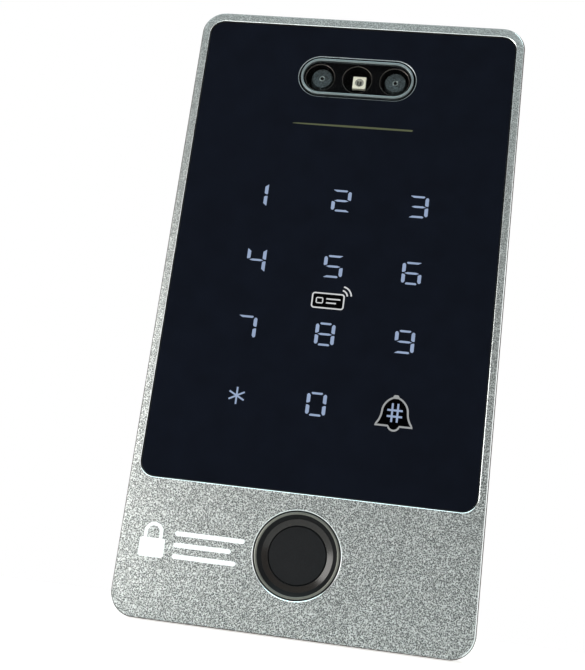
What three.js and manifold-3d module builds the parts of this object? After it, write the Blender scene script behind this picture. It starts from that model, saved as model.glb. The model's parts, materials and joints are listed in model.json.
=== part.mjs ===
// A wall-mounted access terminal: touch keypad, camera pod and fingerprint reader on a steel wall bracket.
//
// Millimetres. The pieces are laid out as the terminal is seen on its wall: x to the right, y up, and
// z out from the wall, which is z = 0. The last lines turn the whole layout so that +Z is up and the
// front faces -Y.
import * as THREE from "three";
import { mergeVertices } from "three/addons/utils/BufferGeometryUtils.js";
import Module from "manifold-3d";

const wasm = await Module();
wasm.setup();

// ---------------------------------------------------------------- driving dimensions

const body = { width: 86, height: 160, depth: 22, corner: 6, edge: 0.6, wall: 2.2 };
const glass = { width: 81.5, height: 123.9, y: 15.4, corner: 3.8, thickness: 1.8, sunk: 0.3 };
const pod = {
  x: 0.3,
  y: 62.93,
  width: 29.8,
  height: 10.3,
  rim: 0.65,
  gap: 0.55, // between the ring and the glass
  pitch: 9.85,
  boreRadius: 3.8,
};
const lightBar = { x: 0.6, y: 49.1, length: 31.5, height: 0.6 };
const keys = { columns: [-19.7, 0, 19.7], rows: [28.2, 10.5, -7.2, -24.9], width: 12, height: 11 };
const reader = { y: -61.1, radius: 10.38, padRadius: 6.85, flangeRadius: 12.4, boardRadius: 9.2 };
const lift = 6; // how far the terminal rises to come off its hooks
const press = 1.5; // travel of the tamper plunger
const slip = 0.1; // clearance between pieces assembled face to face
const past = 0.2; // how far a cutting tool runs past the face it opens
const gap = 0.02; // keeps a piece that rests on another just clear of it
const ribbonThickness = 0.3;

// Distances from the wall of the faces that meet.
const level = {
  bracketFront: 1.5,
  coverBack: 0.3,
  pocketFloor: 1.9,
  coverInside: 3.9,
  coverFront: 7.6,
  housingBack: 8,
  mainBack: 8.6,
  mainFront: 10.2,
  cameraBoardBack: 11,
  cameraBoardFront: 12.2,
  keypadBack: 15.4,
  keypadFront: 17,
  ledgeBack: 18,
  ledgeFront: 19.6,
  lowerWallBack: 19.5,
  glassBack: body.depth - glass.sunk - glass.thickness,
  glassFront: body.depth - glass.sunk,
};

// ---------------------------------------------------------------- solids from geometry

function toSolid(geometry) {
  const bare = geometry.clone();
  bare.deleteAttribute("normal");
  bare.deleteAttribute("uv");
  const merged = mergeVertices(bare);
  return new wasm.Manifold(
    new wasm.Mesh({
      numProp: 3,
      vertProperties: merged.attributes.position.array,
      triVerts: new Uint32Array(merged.index.array),
    }),
  );
}

function toGeometry(solid) {
  const { vertProperties, triVerts } = solid.getMesh();
  const geometry = new THREE.BufferGeometry();
  geometry.setAttribute("position", new THREE.BufferAttribute(vertProperties, 3));
  geometry.setIndex(new THREE.BufferAttribute(triVerts, 1));
  geometry.computeVertexNormals();
  return geometry;
}

const join = (first, ...others) => others.reduce((made, solid) => made.add(solid), first);
const cut = (first, ...tools) => tools.reduce((made, tool) => made.subtract(tool), first);

// Points of a rounded rectangle centred on (x, y).
function roundedBox(width, height, corner, x = 0, y = 0, steps = 4) {
  const points = [];
  const add = (point) => {
    const clear = (other) => !other || point.distanceTo(other) > 1e-6;
    if (clear(points[0]) && clear(points[points.length - 1])) points.push(point);
  };
  for (let quarter = 0; quarter < 4; quarter += 1) {
    const sideX = quarter === 0 || quarter === 3 ? 1 : -1;
    const sideY = quarter < 2 ? 1 : -1;
    const centreX = x + sideX * (width / 2 - corner);
    const centreY = y + sideY * (height / 2 - corner);
    for (let step = 0; step <= steps; step += 1) {
      const angle = (quarter + step / steps) * (Math.PI / 2);
      add(new THREE.Vector2(centreX + corner * Math.cos(angle), centreY + corner * Math.sin(angle)));
    }
  }
  return points;
}

// Points of a slot with round ends.
const roundSlot = (width, height, x = 0, y = 0, steps = 4) =>
  roundedBox(width, height, Math.min(width, height) / 2, x, y, steps);

// An outline pushed from one distance from the wall to another, with an optional chamfer round both ends.
function slab(points, near, far, chamfer = 0) {
  const geometry = new THREE.ExtrudeGeometry(new THREE.Shape(points), {
    depth: far - near - 2 * chamfer,
    bevelEnabled: chamfer > 0,
    bevelThickness: chamfer,
    bevelSize: chamfer,
    bevelOffset: -chamfer,
    bevelSegments: 2,
  });
  return toSolid(geometry.translate(0, 0, near + chamfer));
}

// A box given by its lowest and highest corner.
function box([left, low, near], [right, high, far]) {
  const geometry = new THREE.BoxGeometry(right - left, high - low, far - near);
  return toSolid(geometry.translate((left + right) / 2, (low + high) / 2, (near + far) / 2));
}

// A box centred on (x, y), between two distances from the wall.
const block = (width, height, x, y, near, far) =>
  box([x - width / 2, y - height / 2, near], [x + width / 2, y + height / 2, far]);

// A round bar standing out from the wall.
function rod(radius, x, y, near, far, sides = 16) {
  const geometry = new THREE.CylinderGeometry(radius, radius, far - near, sides);
  return toSolid(geometry.rotateX(Math.PI / 2).translate(x, y, (near + far) / 2));
}

// A round bar standing upright, between two heights.
function upright(radius, x, z, low, high, sides = 16) {
  const geometry = new THREE.CylinderGeometry(radius, radius, high - low, sides);
  return toSolid(geometry.translate(x, (low + high) / 2, z));
}

// Points of [radius, distance from the wall] turned about an axis that stands out from the wall at (x, y).
// They run round the section with the outer side taken away from the wall.
function turned(profile, x, y, sides) {
  const closed = [...profile, profile[0]].map(([radius, z]) => new THREE.Vector2(radius, z));
  return toSolid(new THREE.LatheGeometry(closed, sides).rotateX(Math.PI / 2).translate(x, y, 0));
}

// A flat cable: a strip that follows [height, distance from the wall] points.
function ribbon(route, width, x) {
  const half = ribbonThickness / 2;
  const near = [];
  const far = [];
  route.forEach(([y, z], i) => {
    const [beforeY, beforeZ] = route[Math.max(i - 1, 0)];
    const [afterY, afterZ] = route[Math.min(i + 1, route.length - 1)];
    const along = new THREE.Vector2(afterY - beforeY, afterZ - beforeZ).normalize();
    near.push(new THREE.Vector2(y - along.y * half, z + along.x * half));
    far.unshift(new THREE.Vector2(y + along.y * half, z - along.x * half));
  });
  const outline = new THREE.Shape([...near, ...far]);
  const geometry = new THREE.ExtrudeGeometry(outline, { depth: width, bevelEnabled: false });
  // The outline was drawn in height and distance, so the three axes change places.
  const right = new THREE.Vector3(1, 0, 0);
  const up = new THREE.Vector3(0, 1, 0);
  const out = new THREE.Vector3(0, 0, 1);
  geometry.applyMatrix4(new THREE.Matrix4().makeBasis(up, out, right));
  return toSolid(geometry.translate(x - width / 2, 0, 0));
}

// ---------------------------------------------------------------- the parts list

const fixed = new THREE.Group(); // stays on the wall
const terminal = new THREE.Group(); // lifts off the bracket

function addPart(group, name, solid, color, roughness, metalness = 0) {
  const material = new THREE.MeshStandardMaterial({ color, roughness, metalness });
  const mesh = new THREE.Mesh(toGeometry(solid), material);
  mesh.name = name;
  group.add(mesh);
}

const colour = {
  frontPaint: 0xa6abab,
  backShell: 0x232426,
  blackGlass: 0x0d1118,
  clear: 0xcfd6da,
  podRing: 0x8f9aa5,
  blackPlastic: 0x141414,
  rubber: 0x1c1c1c,
  lensBarrel: 0x59636d,
  ceramic: 0xf0ead2,
  lightPipe: 0x6f7048,
  board: 0x1f5a34,
  zinc: 0xb9bcbf,
  steel: 0x9fa3a6,
  brass: 0xc2a14d,
  relay: 0x2b4a7a,
  connector: 0x2f7d46,
  copper: 0xb06a3a,
  flatCable: 0xb98a3a,
  label: 0xdedfdd,
};

// ---------------------------------------------------------------- wall bracket

const bracket = { width: 72, top: 66, bottom: -64, corner: 4 };
const tongue = { width: 16, low: -77.4, high: -75.9, reach: 7.4 };
const hooks = { x: [-22, 22], tops: [52, -38], width: 8, sheet: 1.5, rise: 4, back: 4.2, reach: 5.7 };
const hookRoom = 0.5; // beside and below each hook
const cableWindow = { width: 34, height: 22, corner: 3, y: 22 };
const lowerWindows = { x: [-10.5, 10.5], y: -22, size: 15, corner: 2.5 };
const wallSlots = { places: [[-30.15, 0], [30.15, 0], [0, 54], [0, -50]], width: 5, height: 10 };
const tamper = { x: 14, y: -54, radius: 1.75, guide: 1.95, flange: 2.6, flangeThickness: 0.5, stem: 0.8 };
const plungerSlot = { width: 12, height: 12 + lift };
const lock = { z: 4.75, radius: 1.5, hole: 1.7, head: 2.7, headLow: -79.4, tip: -71, socket: 1.2 };

// A tab bent forward from the sheet, with a lip that rises in front of the back shell.
function makeHook(x, top) {
  const [left, right] = [x - hooks.width / 2, x + hooks.width / 2];
  const low = top - hooks.sheet;
  const shelf = box([left, low, slip], [right, top, hooks.reach]);
  return join(shelf, box([left, low, hooks.back], [right, top + hooks.rise, hooks.reach]));
}

function makeWallBracket() {
  const height = bracket.top - bracket.bottom;
  const middle = (bracket.top + bracket.bottom) / 2;
  const half = tongue.width / 2;
  const front = level.bracketFront + past;
  const through = (points) => slab(points, -past, front);
  const places = hooks.x.flatMap((x) => hooks.tops.map((top) => [x, top]));
  // Each hook leaves the opening that its tab was bent out of.
  const tabLength = hooks.reach + hooks.rise - level.bracketFront;
  const tabWidth = hooks.width + 2 * hookRoom;
  const plate = cut(
    slab(roundedBox(bracket.width, height, bracket.corner, 0, middle), 0, level.bracketFront),
    through(roundedBox(cableWindow.width, cableWindow.height, cableWindow.corner, 0, cableWindow.y)),
    ...lowerWindows.x.map((x) =>
      through(roundedBox(lowerWindows.size, lowerWindows.size, lowerWindows.corner, x, lowerWindows.y)),
    ),
    through(roundSlot(plungerSlot.width, plungerSlot.height, tamper.x, tamper.y + lift / 2)),
    ...wallSlots.places.map(([x, y]) => through(roundSlot(wallSlots.width, wallSlots.height, x, y))),
    ...places.map(([x, top]) => block(tabWidth, tabLength, x, top + tabLength / 2, -past, front)),
  );
  const lip = join(
    box([-half, tongue.low, 0], [half, bracket.bottom + 1, level.bracketFront]),
    box([-half, tongue.low, 0], [half, tongue.high, tongue.reach]),
  );
  const lockHole = upright(lock.hole, 0, lock.z, tongue.low - past, tongue.high + past);
  return cut(join(plate, lip, ...places.map(([x, top]) => makeHook(x, top))), lockHole);
}

function makeLockScrew() {
  const shank = upright(lock.radius, 0, lock.z, tongue.low - slip, lock.tip);
  const head = upright(lock.head, 0, lock.z, lock.headLow, tongue.low - slip / 2);
  const socket = upright(lock.socket, 0, lock.z, lock.headLow - past, lock.headLow + lock.socket, 6);
  return cut(join(shank, head), socket);
}

addPart(fixed, "wall_bracket", makeWallBracket(), colour.zinc, 0.4, 1);
addPart(fixed, "security_screw", makeLockScrew(), colour.steel, 0.3, 1);

// ---------------------------------------------------------------- front housing

const cavity = { width: body.width - 2 * body.wall, height: body.height - 2 * body.wall, corner: 4 };
const window = { width: 70, height: 112, corner: 3 };
const recessGap = 0.2; // between the glass and the metal all round it
const lowerPocket = { width: 60, low: -76, high: -48 };
const post = { x: 37, y: 74.5, radius: 3.2, hole: 1.55, depth: 6 };
const boardPost = { x: 37.5, heights: [46, -36], radius: 2.2, hole: 1.1, holeFront: 19.2 };
const clampPost = { x: 17.5, radius: 2.6, hole: 1.05, height: 1.9, holeBack: 17, holeFront: 20.5 };
const outlineSteps = 12; // straight stretches in each corner of the shells

const corners = [-1, 1].flatMap((sideX) => [-1, 1].map((sideY) => [sideX * post.x, sideY * post.y]));
const boardCorners = [-1, 1].flatMap((side) => boardPost.heights.map((y) => [side * boardPost.x, y]));
const clampPlaces = [-clampPost.x, clampPost.x].map((x) => [x, reader.y]);

function makeFrontHousing() {
  const outer = slab(
    roundedBox(body.width, body.height, body.corner, 0, 0, outlineSteps),
    level.housingBack,
    body.depth,
    body.edge,
  );
  const recess = roundedBox(
    glass.width + 2 * recessGap,
    glass.height + 2 * recessGap,
    glass.corner + recessGap,
    0,
    glass.y,
  );
  const pocketMiddle = (lowerPocket.low + lowerPocket.high) / 2;
  const pocket = block(
    lowerPocket.width,
    lowerPocket.high - lowerPocket.low,
    0,
    pocketMiddle,
    level.ledgeBack - past,
    level.lowerWallBack,
  );
  const shell = cut(
    outer,
    slab(roundedBox(cavity.width, cavity.height, cavity.corner), level.housingBack - past, level.ledgeBack),
    slab(
      roundedBox(window.width, window.height, window.corner, 0, glass.y),
      level.ledgeBack - past,
      body.depth,
    ),
    slab(recess, level.ledgeFront, body.depth + past),
    pocket,
    rod(reader.radius + slip, 0, reader.y, level.ledgeBack, body.depth + past, 48),
  );
  const { housingBack, keypadFront, ledgeBack, lowerWallBack } = level;
  const clampBack = lowerWallBack - clampPost.height;
  const posts = [
    ...corners.map(([x, y]) => rod(post.radius, x, y, housingBack, ledgeBack + past)),
    ...boardCorners.map(([x, y]) => rod(boardPost.radius, x, y, keypadFront, ledgeBack + past, 12)),
    ...clampPlaces.map(([x, y]) => rod(clampPost.radius, x, y, clampBack, lowerWallBack + past, 12)),
  ];
  const holes = [
    ...corners.map(([x, y]) => rod(post.hole, x, y, housingBack - past, housingBack + post.depth, 12)),
    ...boardCorners.map(([x, y]) => rod(boardPost.hole, x, y, keypadFront - past, boardPost.holeFront, 8)),
    ...clampPlaces.map(([x, y]) => rod(clampPost.hole, x, y, clampPost.holeBack, clampPost.holeFront, 12)),
  ];
  return cut(join(shell, ...posts), ...holes);
}

addPart(terminal, "front_housing", makeFrontHousing(), colour.frontPaint, 0.5, 0.6);

// ---------------------------------------------------------------- back shell, gasket, grommet and label

const pocket = { width: 74, low: -71, high: 67.5, corner: 4 };
const channel = { half: tongue.width / 2 + 1, top: tongue.high + 2 * slip };
const lockBlock = { half: channel.half + 2.5, low: 1 - body.height / 2, top: -69.5, back: 3 };
const insert = { radius: 2.1, low: -75.6, high: -70.6 };
const counterbore = { radius: 3.2, floor: 2.2 };
const coverScrew = { radius: 1.5, head: 2.8, headHeight: 1.6, tip: level.housingBack + 5 };
// Hollows in the pocket's floor: one lets the cables spread, and the others clear the wall screws' heads.
const cableWell = { width: 36, height: 24, corner: 4, floor: 3.4, wall: 1.6, y: 22 };
const headRoom = { around: 3, floor: 4.4, wall: 1.6 };
const outlet = { y: cableWell.y, width: 26, height: 14, lip: 2, lipThickness: 0.9 };
const outletHole = { width: 21, height: 9 };
const label = { width: 28, height: 20, corner: 1.5, thickness: 0.15 };

// A hollow sunk into the pocket's floor, given as the bulge it makes inside and the tool that cuts it.
function makeHollow(outline, { floor, wall }) {
  return {
    bulge: slab(outline(wall), level.coverInside - past, floor + wall),
    tool: slab(outline(0), level.coverBack - past, floor),
  };
}

function makeHollows() {
  const well = makeHollow(
    (grow) =>
      roundedBox(
        cableWell.width + 2 * grow,
        cableWell.height + 2 * grow,
        cableWell.corner + grow,
        0,
        cableWell.y,
      ),
    cableWell,
  );
  const [width, height] = [wallSlots.width + 2 * headRoom.around, wallSlots.height + 2 * headRoom.around];
  const rooms = wallSlots.places.map(([x, y]) =>
    makeHollow((grow) => roundSlot(width + 2 * grow, height + 2 * grow, x, y), headRoom),
  );
  return [well, ...rooms];
}

function makeRearCover() {
  const { coverBack, pocketFloor, coverInside, coverFront } = level;
  const back = coverBack - past;
  const below = -body.height / 2 - past;
  const outside = roundedBox(body.width, body.height, body.corner, 0, 0, outlineSteps);
  const pocketOutline = roundedBox(
    pocket.width,
    pocket.high - pocket.low,
    pocket.corner,
    0,
    (pocket.low + pocket.high) / 2,
  );
  const shell = cut(
    slab(outside, coverBack, coverFront, body.edge),
    slab(roundedBox(cavity.width, cavity.height, cavity.corner), coverInside, coverFront + past),
    slab(pocketOutline, back, pocketFloor),
  );
  const hollows = makeHollows();
  const inside = [
    box([-lockBlock.half, lockBlock.low, lockBlock.back], [lockBlock.half, lockBlock.top, coverFront]),
    ...corners.map(([x, y]) => rod(post.radius, x, y, coverInside - past, coverFront)),
    ...hollows.map((hollow) => hollow.bulge),
  ];
  const hookSlots = hooks.x.flatMap((x) =>
    hooks.tops.map((top) =>
      box(
        [x - hooks.width / 2 - hookRoom, top - lift - hooks.sheet - hookRoom, pocketFloor - past],
        [x + hooks.width / 2 + hookRoom, top + slip, coverInside + past],
      ),
    ),
  );
  return cut(
    join(shell, ...inside),
    ...hollows.map((hollow) => hollow.tool),
    ...hookSlots,
    box([-channel.half, below, back], [channel.half, pocket.low + 1, pocketFloor]),
    box([-channel.half, below, back], [channel.half, channel.top, coverFront + past]),
    upright(insert.radius + slip / 2, 0, lock.z, channel.top - past, lockBlock.top + past),
    slab(roundSlot(outlet.width, outlet.height, 0, outlet.y), back, coverFront),
    rod(tamper.guide, tamper.x, tamper.y, pocketFloor - past, coverInside + past),
    ...corners.map(([x, y]) => rod(counterbore.radius, x, y, back, counterbore.floor)),
    ...corners.map(([x, y]) => rod(post.hole + slip, x, y, back, coverFront + past, 12)),
  );
}

// A closed frame that follows the shells' outline in the seam between them.
function makeGasket() {
  const inset = 0.7;
  const width = 1.3;
  const outline = (shrink) =>
    roundedBox(
      body.width - 2 * shrink,
      body.height - 2 * shrink,
      body.corner - shrink,
      0,
      0,
      outlineSteps,
    );
  const { coverFront, housingBack } = level;
  return cut(
    slab(outline(inset), coverFront, housingBack),
    slab(outline(inset + width), coverFront - past, housingBack + past),
  );
}

// A rubber lining for the cable hole, held by a lip on the inside.
function makeGrommet() {
  const neck = roundSlot(outlet.width - slip, outlet.height - slip, 0, outlet.y);
  const lip = roundSlot(outlet.width + 2 * outlet.lip, outlet.height + 2 * outlet.lip, 0, outlet.y);
  const hole = roundSlot(outletHole.width, outletHole.height, 0, outlet.y);
  const neckBack = cableWell.floor + slip;
  const lipBack = cableWell.floor + cableWell.wall + gap;
  const lipFront = lipBack + outlet.lipThickness;
  const ring = join(slab(neck, neckBack, lipBack + past), slab(lip, lipBack, lipFront));
  return cut(ring, slab(hole, neckBack - past, lipFront + past));
}

function makeLockInsert() {
  const sleeve = upright(insert.radius, 0, lock.z, insert.low, insert.high);
  return cut(sleeve, upright(lock.hole, 0, lock.z, insert.low - past, insert.high + past));
}

// A pan-head screw driven away from the wall.
function makeScrew(x, y, radius, headRadius, headBack, seat, tip) {
  const shank = rod(radius, x, y, seat - past, tip, 12);
  const head = rod(headRadius, x, y, headBack, seat, 16);
  const [socketWidth, socketDepth] = [0.4, 0.55]; // shares of the head's
  const socketFloor = headBack + (seat - headBack) * socketDepth;
  const socket = rod(headRadius * socketWidth, x, y, headBack - past, socketFloor, 6);
  return cut(join(shank, head), socket);
}

function makeLabel() {
  const outline = roundedBox(label.width, label.height, label.corner, 0, lowerWindows.y, 3);
  return slab(outline, level.pocketFloor - label.thickness, level.pocketFloor);
}

addPart(terminal, "rear_cover", makeRearCover(), colour.backShell, 0.6);
addPart(terminal, "housing_gasket", makeGasket(), colour.rubber, 0.8);
addPart(terminal, "cable_grommet", makeGrommet(), colour.rubber, 0.8);
addPart(terminal, "lock_insert", makeLockInsert(), colour.brass, 0.35, 1);
addPart(terminal, "rating_label", makeLabel(), colour.label, 0.5);
corners.forEach(([x, y], i) => {
  const { radius, head, headHeight, tip } = coverScrew;
  const seat = counterbore.floor;
  const screw = makeScrew(x, y, radius, head, seat - headHeight, seat, tip);
  addPart(terminal, `cover_screw_${i + 1}`, screw, colour.steel, 0.3, 1);
});

// ---------------------------------------------------------------- touch glass and the light behind it

function makeGlass() {
  const sheet = roundedBox(glass.width, glass.height, glass.corner, 0, glass.y, 6);
  const podHole = roundSlot(pod.width + 2 * pod.gap, pod.height + 2 * pod.gap, pod.x, pod.y, 8);
  return cut(
    slab(sheet, level.glassBack, level.glassFront),
    slab(podHole, level.glassBack - past, level.glassFront + past),
  );
}

// Foam tape on the ledge round the glass.
function makeGlassAdhesive() {
  const back = 0.5; // from the window's edge
  const outer = roundedBox(glass.width - 2 * slip, glass.height - 2 * slip, glass.corner, 0, glass.y);
  const inner = roundedBox(window.width + 2 * back, window.height + 2 * back, window.corner, 0, glass.y);
  return cut(
    slab(outer, level.ledgeFront, level.glassBack),
    slab(inner, level.ledgeFront - past, level.glassBack + past),
  );
}

const mask = {
  width: 68,
  low: -38,
  high: 53,
  back: level.keypadFront + slip,
  front: level.glassBack - slip,
};
const cardCell = { width: 10.5, height: 4.6, y: 1.8 };
const keypad = { width: 79, low: -40, high: 50, lampWidth: 3.2, lampHeight: 1.6, lampThickness: 0.8 };
const antenna = { size: 66, band: 6, y: 3, thickness: 0.8, corner: 5 };

// A black shield with a cell behind each lit symbol, so that each one glows alone.
function makeLightMask() {
  const middle = (mask.low + mask.high) / 2;
  const through = (width, height, x, y) => block(width, height, x, y, mask.back - past, mask.front + past);
  const cells = keys.columns.flatMap((x) => keys.rows.map((y) => through(keys.width, keys.height, x, y)));
  return cut(
    slab(roundedBox(mask.width, mask.high - mask.low, 3, 0, middle), mask.back, mask.front),
    ...cells,
    through(cardCell.width, cardCell.height, 0, cardCell.y),
    through(lightBar.length + 2 * slip, lightBar.height + 2 * slip, lightBar.x, lightBar.y),
  );
}

function makeKeypadBoard() {
  const { width, low, high, lampWidth, lampHeight, lampThickness } = keypad;
  const { keypadBack, keypadFront } = level;
  const board = slab(roundedBox(width, high - low, 3, 0, (low + high) / 2), keypadBack, keypadFront);
  const lampFront = keypadFront + lampThickness;
  const lamps = keys.columns.flatMap((x) =>
    keys.rows.map((y) => block(lampWidth, lampHeight, x, y, keypadFront - past, lampFront)),
  );
  const holes = boardCorners.map(([x, y]) =>
    rod(boardPost.hole, x, y, keypadBack - past, keypadFront + past, 8),
  );
  return cut(join(board, ...lamps), ...holes);
}

// The coil board of the card reader, a square frame behind the keypad board.
function makeCardAntenna() {
  const { size, band, y, thickness, corner } = antenna;
  const front = level.keypadBack - slip;
  const inside = size - 2 * band;
  return cut(
    slab(roundedBox(size, size, corner, 0, y), front - thickness, front),
    slab(roundedBox(inside, inside, corner / 2, 0, y), front - thickness - past, front + past),
  );
}

const pipe = roundSlot(lightBar.length, lightBar.height, lightBar.x, lightBar.y, 3);
addPart(terminal, "touch_glass", makeGlass(), colour.blackGlass, 0.1);
addPart(terminal, "glass_adhesive", makeGlassAdhesive(), colour.blackPlastic, 0.9);
addPart(terminal, "light_mask", makeLightMask(), colour.blackPlastic, 0.6);
addPart(terminal, "led_bar_light_pipe", slab(pipe, mask.back, mask.front), colour.lightPipe, 0.3);
addPart(terminal, "keypad_board", makeKeypadBoard(), colour.board, 0.5);
addPart(terminal, "card_antenna", makeCardAntenna(), colour.copper, 0.5);

// ---------------------------------------------------------------- camera pod

const boreX = [-pod.pitch, 0, pod.pitch].map((offset) => pod.x + offset);
const lensX = [boreX[0] + 0.4, boreX[2] + 0.2]; // neither lens stands quite in the middle of its bore
const holder = { back: 15.6, front: 21, flangeWidth: 38, flangeHeight: 16, flangeBack: 18.4, floor: 17.4 };
const lensY = pod.y + 0.3;
const lens = { radius: 3, faceRadius: 2.7, face: 20, faceSunk: 0.35, collar: 0.6, aperture: 0.8 };
const pupilRadius = 0.3;
const lamp = { x: pod.x + 0.5, size: 3.5, top: 19.4, thickness: 0.9, boardWidth: 4.6 };
const cameraBoard = { width: 34, height: 12.5, corner: 1.5 };
const mountSize = 8;

function makeCameraRing() {
  const outer = roundSlot(pod.width, pod.height, pod.x, pod.y, 8);
  const inner = roundSlot(pod.width - 2 * pod.rim, pod.height - 2 * pod.rim, pod.x, pod.y, 8);
  const back = holder.front + gap;
  return cut(slab(outer, back, body.depth), slab(inner, back - past, body.depth + past));
}

function makeCameraHolder() {
  const { back, front, flangeWidth, flangeHeight, flangeBack, floor } = holder;
  const tower = slab(roundSlot(pod.width, pod.height, pod.x, pod.y, 8), back, front);
  const flangeFront = level.glassBack - gap;
  const flange = slab(roundedBox(flangeWidth, flangeHeight, 3, pod.x, pod.y), flangeBack, flangeFront);
  // The middle bore, which holds the lamp, has a floor.
  const bores = boreX.map((x, i) =>
    rod(pod.boreRadius, x, pod.y, i === 1 ? floor : back - past, front + past, 24),
  );
  return cut(join(tower, flange), ...bores);
}

// A threaded barrel with a sunk front face and a small aperture in it.
function makeLens(x) {
  const { radius, faceRadius, face, faceSunk, collar, aperture } = lens;
  const profile = [
    [0, holder.back],
    [radius, holder.back],
    [radius, face - collar - faceSunk],
    [faceRadius, face - collar],
    [faceRadius, face],
    [faceRadius - faceSunk, face],
    [aperture, face - faceSunk],
    [pupilRadius, face - 2 * faceSunk],
    [0, face - 2 * faceSunk],
  ];
  return turned(profile, x, lensY, 24);
}

// The square base that holds an image sensor and takes the lens barrel.
const makeCameraMount = (x) =>
  block(mountSize, mountSize, x, lensY, level.cameraBoardFront, holder.back - slip);

function makeCameraBoard() {
  const { width, height, corner } = cameraBoard;
  const outline = roundedBox(width, height, corner, pod.x, pod.y, 2);
  return slab(outline, level.cameraBoardBack, level.cameraBoardFront - gap);
}

function makeCameraWindow() {
  const [width, height] = [pod.width - 2 * pod.rim - slip, pod.height - 2 * pod.rim - slip];
  return slab(roundSlot(width, height, pod.x, pod.y, 8), holder.front + gap, level.glassFront);
}

const lampBack = lamp.top - lamp.thickness;
const cameraLamp = block(lamp.size, lamp.size, lamp.x, pod.y, lampBack, lamp.top);
const lampBoard = block(lamp.boardWidth, lamp.boardWidth, pod.x, pod.y, holder.floor + gap, lampBack - gap);

addPart(terminal, "camera_ring", makeCameraRing(), colour.podRing, 0.3, 0.9);
addPart(terminal, "camera_window", makeCameraWindow(), colour.clear, 0.05);
addPart(terminal, "camera_holder", makeCameraHolder(), colour.blackPlastic, 0.5);
["left", "right"].forEach((side, i) => {
  addPart(terminal, `camera_lens_${side}`, makeLens(lensX[i]), colour.lensBarrel, 0.5, 0.4);
  addPart(terminal, `camera_mount_${side}`, makeCameraMount(lensX[i]), colour.blackPlastic, 0.6);
});
addPart(terminal, "camera_board", makeCameraBoard(), colour.board, 0.5);
addPart(terminal, "camera_led", cameraLamp, colour.ceramic, 0.4);
addPart(terminal, "camera_led_board", lampBoard, colour.blackPlastic, 0.5);

// ---------------------------------------------------------------- fingerprint reader

// The ring's front runs inward from a flat rim down a steep wall and over a sloping shelf to the pad.
const bezel = {
  back: 17.6,
  flangeFront: 19,
  lipBack: 18.6,
  shoulder: 9.4,
  edge: 0.3,
  rim: 0.95,
  wallFoot: 1.85,
  wallDepth: 1.1,
  shelfDepth: 1.7,
};
const padTop = 20.25;
const padEdge = 0.15;
const clamp = { width: 42, height: 27, corner: 4, back: 16.2, front: 17.5, hole: 9.6 };
const clampScrew = { radius: 1, head: 1.9, headHeight: 1.2, tip: 19.8 };
const sensorBoardFront = bezel.back - 2 * slip;
const sensorBoardBack = sensorBoardFront - 1.2;

function makeSensorBezel() {
  const bore = reader.padRadius + 2 * slip;
  const front = body.depth;
  const profile = [
    [bezel.shoulder, bezel.back],
    [reader.flangeRadius, bezel.back],
    [reader.flangeRadius, bezel.flangeFront],
    [reader.radius, bezel.flangeFront],
    [reader.radius, front - bezel.edge],
    [reader.radius - bezel.edge, front],
    [reader.radius - bezel.rim, front],
    [reader.radius - bezel.wallFoot, front - bezel.wallDepth],
    [bore, front - bezel.shelfDepth],
    [bore, bezel.lipBack],
    [bezel.shoulder, bezel.lipBack],
  ];
  return turned(profile, 0, reader.y, 48);
}

function makeFingerprintPad() {
  const profile = [
    [0, bezel.back - slip],
    [reader.boardRadius, bezel.back - slip],
    [reader.boardRadius, bezel.lipBack - slip],
    [reader.padRadius, bezel.lipBack - slip],
    [reader.padRadius, padTop - padEdge],
    [reader.padRadius - padEdge, padTop],
    [0, padTop],
  ];
  return turned(profile, 0, reader.y, 40);
}

function makeSensorSeal() {
  const [inner, outer] = [reader.radius + 2 * slip, reader.flangeRadius - slip];
  const [near, far] = [bezel.flangeFront + gap, level.lowerWallBack - gap];
  const profile = [
    [inner, near],
    [outer, near],
    [outer, far],
    [inner, far],
  ];
  return turned(profile, 0, reader.y, 40);
}

// The plate that presses the reader's flange forward, screwed to two posts of the front housing.
function makeSensorClamp() {
  const { width, height, corner, back, front, hole } = clamp;
  return cut(
    slab(roundedBox(width, height, corner, 0, reader.y), back, front),
    rod(hole, 0, reader.y, back - past, front + past, 32),
    ...clampPlaces.map(([x, y]) => rod(clampPost.hole + slip, x, y, back - past, front + past, 12)),
  );
}

const makeSensorBoard = () => rod(reader.boardRadius, 0, reader.y, sensorBoardBack, sensorBoardFront, 32);

addPart(terminal, "sensor_bezel", makeSensorBezel(), colour.blackPlastic, 0.15);
addPart(terminal, "fingerprint_pad", makeFingerprintPad(), colour.rubber, 0.7);
addPart(terminal, "sensor_seal", makeSensorSeal(), colour.rubber, 0.8);
addPart(terminal, "sensor_clamp", makeSensorClamp(), colour.zinc, 0.4, 1);
addPart(terminal, "sensor_board", makeSensorBoard(), colour.board, 0.5);
["left", "right"].forEach((side, i) => {
  const [x, y] = clampPlaces[i];
  const { radius, head, headHeight, tip } = clampScrew;
  const screw = makeScrew(x, y, radius, head, clamp.back - headHeight, clamp.back, tip);
  addPart(terminal, `sensor_screw_${side}`, screw, colour.steel, 0.3, 1);
});

// ---------------------------------------------------------------- main board and its large parts

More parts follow.
